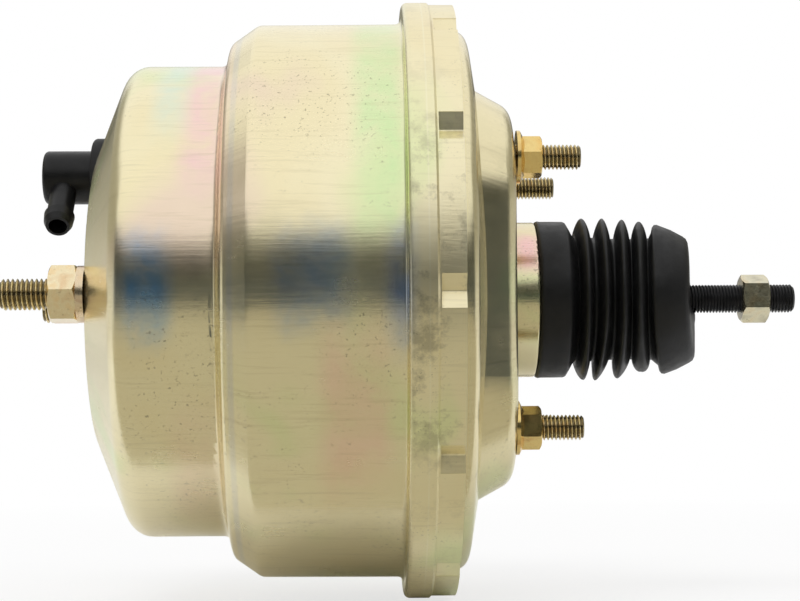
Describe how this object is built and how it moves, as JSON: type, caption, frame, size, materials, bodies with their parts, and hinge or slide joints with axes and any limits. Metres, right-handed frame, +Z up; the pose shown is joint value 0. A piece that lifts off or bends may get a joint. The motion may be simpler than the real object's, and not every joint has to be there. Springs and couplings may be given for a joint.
{
  "type": "brake booster",
  "caption": "Tandem-diaphragm vacuum brake booster with firewall studs, master-cylinder studs, check valve, bellows boot and threaded pushrod.",
  "frame": {"origin": "centre of the firewall seat, on the booster's axis", "axes": "+X from the master-cylinder side to the pedal side along the booster's axis, +Z up, -Y to the side that the picture sees"},
  "size_m": [0.2598, 0.1988, 0.1988],
  "materials": {
    "zinc_shell": "yellow zinc plate with a pale iridescent bloom",
    "zinc_hardware": "yellow zinc plate",
    "lock_washer_steel": "zinc plate",
    "black_steel": "black oxide",
    "inner_steel": "plain pressed steel",
    "spring_steel": "drawn spring wire",
    "boot_rubber": "moulded, slightly dusty",
    "seal_rubber": "moulded",
    "valve_plastic": "moulded glass-filled nylon",
    "piston_resin": "moulded phenolic",
    "bush_plastic": "natural acetal",
    "filter_foam": "open-cell foam",
    "silencer_felt": "pressed felt"
  },
  "bodies": {
    "housing": {"front_shell": "zinc_shell", "rear_shell": "zinc_shell", "center_plate": "inner_steel", "center_seal": "seal_rubber", "front_stud_plate": "inner_steel", "front_studs": "zinc_hardware", "front_nuts": "zinc_hardware", "front_lock_washers": "lock_washer_steel", "rear_stud_plate": "inner_steel", "rear_studs": "zinc_hardware", "rear_flange_nuts": "zinc_hardware", "hub_bush": "bush_plastic", "hub_seal": "seal_rubber", "hub_seal_retainer": "inner_steel", "front_seal": "seal_rubber", "rear_diaphragm": "seal_rubber", "front_diaphragm": "seal_rubber", "return_spring": "spring_steel", "boot": "boot_rubber", "check_valve_grommet": "seal_rubber"},
    "check_valve": {"check_valve_elbow": "valve_plastic", "check_valve_spring": "spring_steel"},
    "check_disc": {"check_valve_disc": "seal_rubber"},
    "power_piston": {"power_piston": "piston_resin", "rear_diaphragm_plate": "inner_steel", "front_diaphragm_plate": "inner_steel", "plate_retainers": "spring_steel", "reaction_disc": "seal_rubber", "reaction_retainer": "spring_steel", "output_rod": "inner_steel", "stop_key": "spring_steel", "poppet_valve": "seal_rubber", "poppet_spring": "spring_steel", "poppet_retainer": "inner_steel", "silencer": "silencer_felt", "air_filter": "filter_foam"},
    "input_rod": {"push_rod": "black_steel", "air_valve": "inner_steel", "rod_spring": "spring_steel", "jam_nut": "black_steel"}
  },
  "joints": [
    {"name": "piston_stroke", "type": "slide", "parent": "housing", "child": "power_piston", "axis": [-1, 0, 0], "range_m": [0, 0.03], "stiffness_N_per_m": 2200, "springref_m": -0.04, "deforming": ["return_spring", "front_diaphragm", "rear_diaphragm", "boot"]},
    {"name": "valve_travel", "type": "slide", "parent": "power_piston", "child": "input_rod", "axis": [-1, 0, 0], "range_m": [0, 0.0015], "stiffness_N_per_m": 3000, "springref_m": -0.005, "deforming": ["rod_spring", "poppet_spring", "poppet_valve"]},
    {"name": "check_valve_swivel", "type": "hinge", "parent": "housing", "child": "check_valve", "pos_m": [-0.15, 0.016, 0.044], "axis": [1, 0, 0], "continuous": true},
    {"name": "check_disc_lift", "type": "slide", "parent": "check_valve", "child": "check_disc", "axis": [-1, 0, 0], "range_m": [0, 0.0012], "stiffness_N_per_m": 60, "springref_m": -0.002, "deforming": ["check_valve_spring"]}
  ]
}
